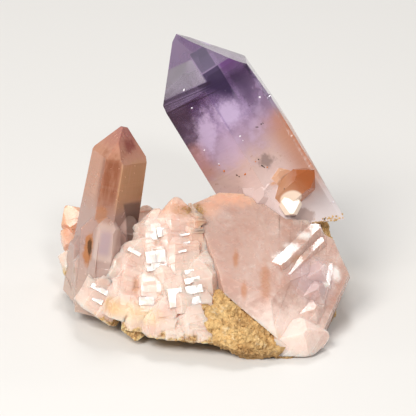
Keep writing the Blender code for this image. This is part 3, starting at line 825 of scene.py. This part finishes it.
def bright_step(mesh, dice, place, width, height, turn, columns):
    """A growth step whose flat face mirrors the glint lamp to the front, side by side in columns."""
    to_lamp = (CAMERA_TARGET + GLINT_LAMP * LAMP_DISTANCE - place).normalized()
    to_front = (CAMERA_TARGET - LOOKING * CAMERA_DISTANCE - place).normalized()
    uneven = Vector((dice.gauss(0, 1), dice.gauss(0, 1), dice.gauss(0, 1))) * 0.02
    facing = (to_lamp.normalized() + to_front.normalized() + uneven).normalized()
    right = Matrix.Rotation(math.radians(turn), 3, facing) @ UP.cross(facing).normalized()
    upward = facing.cross(right)
    column = width / columns
    for index in range(columns):
        centre = place + right * (index + 0.5 - columns / 2) * column + facing * dice.uniform(0.04, 0.16)
        tall = height * dice.uniform(0.85, 1.1)
        made = bmesh.ops.create_cube(mesh, size=1.0)["verts"]
        for vertex in made:
            share = vertex.co.copy()
            narrower = 0.97 if share.z > 0 else 1.12
            vertex.co = (
                centre
                + right * share.x * column * narrower
                + upward * share.y * tall * narrower
                + facing * (share.z - 0.5) * STEP_BODY
            )


def inside_box(point):
    """The point, brought back into the CAD model's box."""
    return Vector(
        min(max(value, low / MM), high / MM) for value, low, high in zip(point, CAD_LOW, CAD_HIGH)
    )


def close_seams(mesh, neighbours):
    """Draws the surface up to the neighbours where it lies close to them."""
    trees = []
    for node in neighbours:
        other = as_bmesh(node)
        trees.append(BVHTree.FromBMesh(other))
        other.free()
    mesh.normal_update()
    moves = []
    for vertex in mesh.verts:
        nearest = min((tree.find_nearest(vertex.co)[3] for tree in trees), default=SEAM)
        if nearest < SEAM:
            moves.append((vertex, vertex.normal * SEAM_CLOSING * (1 - (nearest / SEAM) ** 3)))
    for vertex, move in moves:
        vertex.co += move


def as_piece(mesh, name, material, slot, *replaced, smooth=False):
    """The mesh as an object that stands for the CAD nodes and rides on the part."""
    for vertex in mesh.verts:
        vertex.co = inside_box(vertex.co)
    bmesh.ops.recalc_face_normals(mesh, faces=mesh.faces[:])
    bmesh.ops.triangulate(mesh, faces=mesh.faces[:])
    bmesh.ops.scale(mesh, vec=(MM, MM, MM), verts=mesh.verts[:])
    data = bpy.data.meshes.new(name)
    mesh.to_mesh(data)
    mesh.free()
    data.materials.append(material)
    for polygon in data.polygons:
        polygon.use_smooth = smooth
    piece = bpy.data.objects.new(name, data)
    bpy.context.scene.collection.objects.link(piece)
    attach(piece, "root")
    if replaced:
        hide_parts(*replaced)
    return piece


def chipped_edge(mesh, dice):
    """Small glassy chips along the violet point's worn right edge."""
    worn = []
    for edge in mesh.edges:
        facings = [face.normal for face in edge.link_faces]
        front = any(facing.dot(VIOLET_FRONT_RIGHT) > 0.99 for facing in facings)
        side = any(facing.dot(VIOLET_FLANK) > 0.99 or facing.dot(VIOLET_SHOULDER) > 0.99 for facing in facings)
        if front and side:
            worn.append(edge)
    bmesh.ops.bevel(mesh, geom=worn, offset=0.7, offset_type="OFFSET", segments=1, affect="EDGES")
    chip_facing = (VIOLET_FRONT_RIGHT + VIOLET_FLANK + VIOLET_SHOULDER).normalized()

    def is_chip(face):
        below = (VIOLET_TIP - middle(face)).dot(VIOLET_AXIS)
        return face.normal.dot(chip_facing) > 0.9 and face.normal.dot(VIOLET_FLANK) < 0.96 and below < 26.0

    cut_across(mesh, VIOLET_TIP, -VIOLET_AXIS, uneven_steps(dice, 6.0, 26.0, 0.35, 1.3), is_chip)
    growth_tiles(mesh, dice, 0.12, math.radians(9.0), 0.03, is_chip)


def large_point(looks):
    dice = random.Random(2)
    mesh = as_bmesh("amethyst_point")
    whole_faces(mesh)
    chipped_edge(mesh, dice)
    soften_edges(mesh, 0.07)
    as_piece(mesh, "large_violet_point", violet_quartz(looks), "violet_quartz", "amethyst_point")


def slim_point(looks):
    dice = random.Random(4)
    mesh = as_bmesh("left_point")
    whole_faces(mesh)
    soften_edges(mesh, 0.12)
    low = lambda face: middle(face).z < 13.0 and face.calc_area() > 3.0
    cut_across(mesh, PEACH_TIP, -PEACH_AXIS, uneven_steps(dice, 17.0, 34.0, 2.4, 5.0), low)
    growth_tiles(mesh, dice, 0.07, math.radians(1.2), 0.04, low)
    close_seams(mesh, ("fan_crystals", "side_crystals"))
    as_piece(mesh, "slim_peach_point", peach_quartz(looks), "peach_quartz", "left_point")


def stepped_fan(looks, dice):
    """The fan, with blocky steps in its middle, slanting ones to the left and smoother faces to the right."""
    mesh = as_bmesh("fan_crystals")
    whole_faces(mesh)

    def in_middle(face):
        return -11.4 < middle(face).x < -0.6

    def at_left(face):
        return middle(face).x <= -11.4 and face.calc_area() > 1.0

    heart = Vector((-6.0, -6.0, 0.0))
    for place in uneven_steps(dice, -4.0, 24.0, looks.step_height * 0.7, looks.step_height * 1.4):
        lean = UP_THE_FAN + Vector((dice.uniform(-0.08, 0.08), 0.0, 0.0))
        cut_across(mesh, heart, lean, [place], in_middle)
    cut_across(mesh, Vector(), Vector((1.0, 0.02, 0.12)), (-9.4, -7.2, -4.6, -2.2), in_middle)
    cut_across(mesh, heart, DOWN_THE_LEFT, uneven_steps(dice, -16.0, 16.0, 1.6, 3.4), at_left)
    growth_tiles(mesh, dice, looks.step_depth, math.radians(2.0), 0.02, in_middle)
    growth_tiles(mesh, dice, looks.step_depth * 0.6, math.radians(1.5), 0.02, at_left)
    close_seams(mesh, ("left_point", "block_crystals", "amethyst_point"))
    finish = milky_quartz("milky_fan", looks, looks.milky_colour, tint(228, 196, 182), FAN_MARKS, FAN_CRUST)
    as_piece(mesh, "milky_fan", finish, "milky_quartz", "fan_crystals")
    steps = bmesh.new()
    for place, width, height, turn, columns in BRIGHT_STEPS:
        bright_step(steps, dice, place, width, height, turn, columns)
    as_piece(steps, "bright_steps", finish, "milky_quartz")


def broad_block(looks, dice):
    """The smooth block, with fine steps only on its right shoulder."""
    mesh = as_bmesh("block_crystals")
    whole_faces(mesh)
    soften_edges(mesh, 0.16)

    def on_shoulder(face):
        return middle(face).x > 11.0 and face.calc_area() > 0.8

    cut_across(mesh, Vector(), UP_THE_LEDGES, uneven_steps(dice, -12.0, 8.0, 1.1, 2.4), on_shoulder)
    growth_tiles(mesh, dice, 0.06, math.radians(1.5), 0.02, on_shoulder)
    close_seams(mesh, ("amethyst_point",))
    finish = milky_quartz("milky_block", looks, looks.block_colour, tint(198, 160, 146), BLOCK_MARKS)
    as_piece(mesh, "broad_milky_block", finish, "milky_quartz", "block_crystals")


def milky_bank(looks):
    """The fan, the broad block and the lesser crystals at the side and back."""
    stepped_fan(looks, random.Random(9))
    broad_block(looks, random.Random(3))
    dice = random.Random(5)
    finish = milky_quartz("milky_side", looks, looks.milky_colour, tint(222, 184, 164), SIDE_MARKS)
    for node, name in (("side_crystals", "milky_side"), ("back_crystals", "milky_back")):
        mesh = as_bmesh(node)
        whole_faces(mesh)
        soften_edges(mesh, 0.08)
        wide = lambda face: face.calc_area() > 2.0
        cut_across(mesh, Vector(), UP_THE_FAN, uneven_steps(dice, 0.0, 30.0, 1.6, 3.6), wide)
        growth_tiles(mesh, dice, 0.1, math.radians(2.0), 0.04, wide)
        close_seams(mesh, ("left_point", "fan_crystals", "block_crystals", "amethyst_point"))
        as_piece(mesh, name, finish, "milky_quartz", node)


def finely_divided(mesh, longest):
    """Splits edges until none is longer."""
    for _ in range(8):
        long_edges = [edge for edge in mesh.edges if edge.calc_length() > longest]
        if not long_edges:
            return
        bmesh.ops.subdivide_edges(mesh, edges=long_edges, cuts=1, use_grid_fill=False)
        bmesh.ops.triangulate(mesh, faces=[face for face in mesh.faces if len(face.verts) > 3])


def rock(looks):
    mesh = as_bmesh("matrix")
    finely_divided(mesh, looks.rock_grain)
    mesh.normal_update()
    for vertex in mesh.verts:
        spot = vertex.co
        lumps = noise.fractal(spot * 0.6, 0.8, 2.1, 4) * 0.4
        pits = abs(noise.noise(spot * 1.5)) * 0.55
        grit = abs(noise.noise(spot * 4.2)) * 0.3
        lift = lumps - pits - grit + 0.3
        if spot.z < 0.05:
            lift = 0.0
        vertex.co = spot + vertex.normal * lift
    close_seams(mesh, ("fan_crystals", "block_crystals", "left_point", "amethyst_point", "side_crystals"))
    as_piece(mesh, "ochre_matrix", ochre_rock("ochre_rock", looks), "ochre_rock", "matrix")


def crumb(mesh, dice, place, facing, length, width):
    """One uneven crumb, sunk halfway into what it sits on."""
    made = bmesh.ops.create_icosphere(mesh, subdivisions=1, radius=0.5)["verts"]
    turn = facing.to_track_quat("Z", "Y").to_matrix() @ Matrix.Rotation(dice.uniform(0, math.tau), 3, "Z")
    for vertex in made:
        rough = vertex.co * dice.uniform(0.75, 1.2)
        rough = Vector((rough.x * length, rough.y * width, rough.z * width * 0.8))
        vertex.co = place + turn @ rough


def nearest_surface(node):
    """A search tree of a CAD node's surface, in millimetres."""
    mesh = as_bmesh(node)
    tree = BVHTree.FromBMesh(mesh)
    mesh.free()
    return tree


def scatter(mesh, dice, node, count, where):
    """Crumbs all over the chosen faces of a node."""
    base = as_bmesh(node)
    chosen = [face for face in base.faces if where(face)]
    areas = [face.calc_area() for face in chosen]
    for face in dice.choices(chosen, areas, k=count):
        first, second, third = (vertex.co for vertex in face.verts[:3])
        along, across = dice.random(), dice.random()
        if along + across > 1:
            along, across = 1 - along, 1 - across
        place = first + (second - first) * along + (third - first) * across
        size = 0.15 + 0.45 * dice.random() ** 2
        if place.z > 0.4:
            crumb(mesh, dice, place, face.normal, size, size * dice.uniform(0.6, 0.95))
    base.free()


def crumbs(looks):
    """Loose crumbs of the rock, where it shows between the crystals, and specks on the violet point, the pale ones
    painted glints.
    """
    dice = random.Random(14)
    mesh = bmesh.new()
    for node, centre, reach, count in CRUSTS:
        tree = nearest_surface(node)
        for _ in range(count):
            shift = Vector(dice.gauss(0, size * 0.5) for size in reach)
            place, facing, _, _ = tree.find_nearest(centre + shift)
            size = dice.uniform(0.18, 0.5)
            if abs((place - centre).z) < reach[2] * 1.6 and place.z > 0.4:
                crumb(mesh, dice, place, facing, size, size * dice.uniform(0.6, 0.95))
    scatter(mesh, dice, "matrix", 1500, lambda face: face.normal.z > -0.5 and middle(face).z > 0.4)
    scatter(mesh, dice, "fan_crystals", 900, lambda face: middle(face).z < FAN_CRUST and middle(face).y < -4.0)
    as_piece(mesh, "ochre_crumbs", ochre_rock("ochre_crumbs", looks), "ochre_rock")

    tree = nearest_surface("amethyst_point")
    for name, specks, colour in (
        ("dark_specks", DARK_SPECKS, tint(46, 28, 22)),
        ("rusty_specks", RUSTY_SPECKS, tint(176, 98, 34)),
        # The pale specks are painted glints
        ("painted_glint_specks", PAINTED_GLINT_SPECKS, tint(246, 238, 248)),
    ):
        mesh = bmesh.new()
        for centre, length, width in specks:
            place, facing, _, _ = tree.find_nearest(centre)
            crumb(mesh, dice, place, facing, length, width)
        as_piece(mesh, name, speck(name, colour), "ochre_rock")


# Stage


def pale_floor(looks):
    recipe = Recipe("pale_floor")
    recipe.set("Base Color", recipe.mix(recipe.cloud(0.02, 2.0), looks.floor_colour, looks.floor_colour))
    recipe.set("Roughness", 0.6)
    return recipe.finish()


def floor(looks):
    mesh = bmesh.new()
    bmesh.ops.create_circle(mesh, cap_ends=True, segments=96, radius=3.0)
    data = bpy.data.meshes.new("floor")
    mesh.to_mesh(data)
    mesh.free()
    data.materials.append(pale_floor(looks))
    made = bpy.data.objects.new("floor", data)
    made.location.z = -0.00005
    bpy.context.scene.collection.objects.link(made)
    made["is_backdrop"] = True


def lamp(name, direction, size, power, colour):
    """A square soft light that faces the cluster from a direction."""
    data = bpy.data.lights.new(name, "AREA")
    data.shape = "SQUARE"
    data.size = size
    data.energy = power
    data.color = colour
    made = bpy.data.objects.new(name, data)
    toward = Vector(direction).normalized()
    made.location = (CAMERA_TARGET + toward * LAMP_DISTANCE) * MM
    made.rotation_euler = toward.to_track_quat("Z", "Y").to_euler()
    bpy.context.scene.collection.objects.link(made)


def sky(looks):
    world = bpy.data.worlds.new("studio")
    world.use_nodes = True
    background = world.node_tree.nodes["Background"]
    background.inputs["Color"].default_value = (*looks.floor_colour, 1.0)
    background.inputs["Strength"].default_value = looks.fill_light
    bpy.context.scene.world = world


def camera():
    data = bpy.data.cameras.new("camera")
    data.sensor_width = SENSOR
    data.lens = SENSOR * CAMERA_DISTANCE / FRAME_WIDTH
    data.clip_start = 0.01
    data.clip_end = 20.0
    made = bpy.data.objects.new("camera", data)
    made.location = (CAMERA_TARGET - LOOKING * CAMERA_DISTANCE) * MM
    made.rotation_euler = LOOKING.to_track_quat("-Z", "Y").to_euler()
    bpy.context.scene.collection.objects.link(made)
    bpy.context.scene.camera = made


# Add-on


class ClusterLooks(bpy.types.PropertyGroup):
    """Sizes and colours of the cluster's finishes."""

    tip_colour: bpy.props.FloatVectorProperty(
        name="Tip colour",
        description="Clear lilac of the violet point's tip",
        subtype="COLOR",
        size=3,
        min=0.0,
        max=1.0,
        default=tint(186, 164, 200),
    )
    band_colour: bpy.props.FloatVectorProperty(
        name="Band colour",
        description="Dark violet band under the pyramid",
        subtype="COLOR",
        size=3,
        min=0.0,
        max=1.0,
        default=tint(44, 28, 62),
    )
    wedge_colour: bpy.props.FloatVectorProperty(
        name="Wedge colour",
        description="Bright violet beside the dark band",
        subtype="COLOR",
        size=3,
        min=0.0,
        max=1.0,
        default=tint(98, 40, 116),
    )
    cloud_colour: bpy.props.FloatVectorProperty(
        name="Cloud colour",
        description="Lavender veils in the violet point",
        subtype="COLOR",
        size=3,
        min=0.0,
        max=1.0,
        default=tint(206, 184, 216),
    )
    orange_colour: bpy.props.FloatVectorProperty(
        name="Orange colour",
        description="Small orange crystal on the violet point's foot",
        subtype="COLOR",
        size=3,
        min=0.0,
        max=1.0,
        default=tint(192, 108, 58),
    )
    absorption_colour: bpy.props.FloatVectorProperty(
        name="Depth colour",
        description="Colour that light takes on in the depth of the violet point",
        subtype="COLOR",
        size=3,
        min=0.0,
        max=1.0,
        default=(0.72, 0.52, 0.84),
    )
    absorption: bpy.props.FloatProperty(
        name="Depth density",
        description="How fast the violet point takes up light, per metre",
        min=0.0,
        max=500.0,
        default=14.0,
    )
    peach_colour: bpy.props.FloatVectorProperty(
        name="Peach colour",
        description="Faces of the slim point",
        subtype="COLOR",
        size=3,
        min=0.0,
        max=1.0,
        default=tint(208, 152, 124),
    )
    heart_colour: bpy.props.FloatVectorProperty(
        name="Heart colour",
        description="Orange-brown heart of the slim point",
        subtype="COLOR",
        size=3,
        min=0.0,
        max=1.0,
        default=tint(154, 88, 56),
    )
    milky_colour: bpy.props.FloatVectorProperty(
        name="Milky colour",
        description="Pale pink of the milky crystals",
        subtype="COLOR",
        size=3,
        min=0.0,
        max=1.0,
        default=tint(241, 220, 207),
    )
    block_colour: bpy.props.FloatVectorProperty(
        name="Block colour",
        description="Silky pink of the broad block",
        subtype="COLOR",
        size=3,
        min=0.0,
        max=1.0,
        default=tint(213, 180, 167),
    )
    rust_colour: bpy.props.FloatVectorProperty(
        name="Rust colour",
        description="Iron stains",
        subtype="COLOR",
        size=3,
        min=0.0,
        max=1.0,
        default=tint(176, 112, 60),
    )
    rock_colour: bpy.props.FloatVectorProperty(
        name="Rock colour",
        description="Ochre of the rock",
        subtype="COLOR",
        size=3,
        min=0.0,
        max=1.0,
        default=tint(232, 192, 130),
    )
    step_height: bpy.props.FloatProperty(
        name="Step height",
        description="Usual height of one growth step in the fan, in millimetres",
        min=0.4,
        max=4.0,
        default=1.1,
    )
    step_depth: bpy.props.FloatProperty(
        name="Step depth",
        description="How far the growth steps stand in and out, in millimetres",
        min=0.0,
        max=0.6,
        default=0.09,
    )
    rock_grain: bpy.props.FloatProperty(
        name="Rock grain",
        description="Longest edge of the rock's mesh, in millimetres",
        min=0.2,
        max=2.0,
        default=0.42,
    )
    floor_colour: bpy.props.FloatVectorProperty(
        name="Floor colour",
        description="Pale floor and surroundings",
        subtype="COLOR",
        size=3,
        min=0.0,
        max=1.0,
        default=tint(222, 220, 217),
    )
    fill_light: bpy.props.FloatProperty(
        name="Fill light",
        description="Strength of the even light from all round",
        min=0.0,
        max=3.0,
        default=0.43,
    )


class CLUSTER_OT_large_point(bpy.types.Operator):
    """Dress the large violet point"""

    bl_idname = "cluster.large_point"
    bl_label = "Large Violet Point"

    def execute(self, context):
        large_point(context.scene.cluster_looks)
        return {"FINISHED"}


class CLUSTER_OT_slim_point(bpy.types.Operator):
    """Dress the slim peach point"""

    bl_idname = "cluster.slim_point"
    bl_label = "Slim Peach Point"

    def execute(self, context):
        slim_point(context.scene.cluster_looks)
        return {"FINISHED"}


class CLUSTER_OT_milky_bank(bpy.types.Operator):
    """Dress the milky crystals"""

    bl_idname = "cluster.milky_bank"
    bl_label = "Milky Crystals"

    def execute(self, context):
        milky_bank(context.scene.cluster_looks)
        return {"FINISHED"}


class CLUSTER_OT_rock(bpy.types.Operator):
    """Dress the rock under the crystals"""

    bl_idname = "cluster.rock"
    bl_label = "Ochre Rock"

    def execute(self, context):
        rock(context.scene.cluster_looks)
        return {"FINISHED"}


class CLUSTER_OT_crumbs(bpy.types.Operator):
    """Add the crumbs of rock and the iron specks"""

    bl_idname = "cluster.crumbs"
    bl_label = "Crumbs and Specks"

    def execute(self, context):
        crumbs(context.scene.cluster_looks)
        return {"FINISHED"}


class CLUSTER_OT_stage(bpy.types.Operator):
    """Set up the floor, lights and camera"""

    bl_idname = "cluster.stage"
    bl_label = "Stage"

    def execute(self, context):
        looks = context.scene.cluster_looks
        floor(looks)
        sky(looks)
        lamp("key", KEY_LAMP, 0.3, 2.9, (1.0, 0.98, 0.95))
        lamp("glint", GLINT_LAMP, 0.09, 0.9, (1.0, 1.0, 1.0))
        lamp("left", LEFT_LAMP, 0.07, 0.25, (1.0, 1.0, 1.0))
        lamp("ledge", LEDGE_LAMP, 0.12, 1.1, (0.98, 0.99, 1.0))
        lamp("right", RIGHT_LAMP, 0.08, 0.5, (1.0, 1.0, 1.0))
        camera()
        context.scene.view_settings.view_transform = "Standard"
        return {"FINISHED"}


class CLUSTER_PT_panel(bpy.types.Panel):
    bl_label = "Amethyst Cluster"
    bl_idname = "CLUSTER_PT_panel"
    bl_space_type = "VIEW_3D"
    bl_region_type = "UI"
    bl_category = "Cluster"

    def draw(self, context):
        for operator in OPERATORS:
            self.layout.operator(operator.bl_idname)
        for name in ClusterLooks.__annotations__:
            self.layout.prop(context.scene.cluster_looks, name)


OPERATORS = (
    CLUSTER_OT_large_point,
    CLUSTER_OT_slim_point,
    CLUSTER_OT_milky_bank,
    CLUSTER_OT_rock,
    CLUSTER_OT_crumbs,
    CLUSTER_OT_stage,
)
CLASSES = (ClusterLooks, *OPERATORS, CLUSTER_PT_panel)


def register():
    for item in CLASSES:
        bpy.utils.register_class(item)
    bpy.types.Scene.cluster_looks = bpy.props.PointerProperty(type=ClusterLooks)


def unregister():
    del bpy.types.Scene.cluster_looks
    for item in reversed(CLASSES):
        bpy.utils.unregister_class(item)


def main():
    register()
    bpy.ops.cluster.large_point()
    bpy.ops.cluster.slim_point()
    bpy.ops.cluster.milky_bank()
    bpy.ops.cluster.rock()
    bpy.ops.cluster.crumbs()
    bpy.ops.cluster.stage()
    low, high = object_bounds()
    sizes = {"cad": [list(CAD_LOW), list(CAD_HIGH)], "visual": [list(low), list(high)]}


if __name__ == "__main__":
    main()
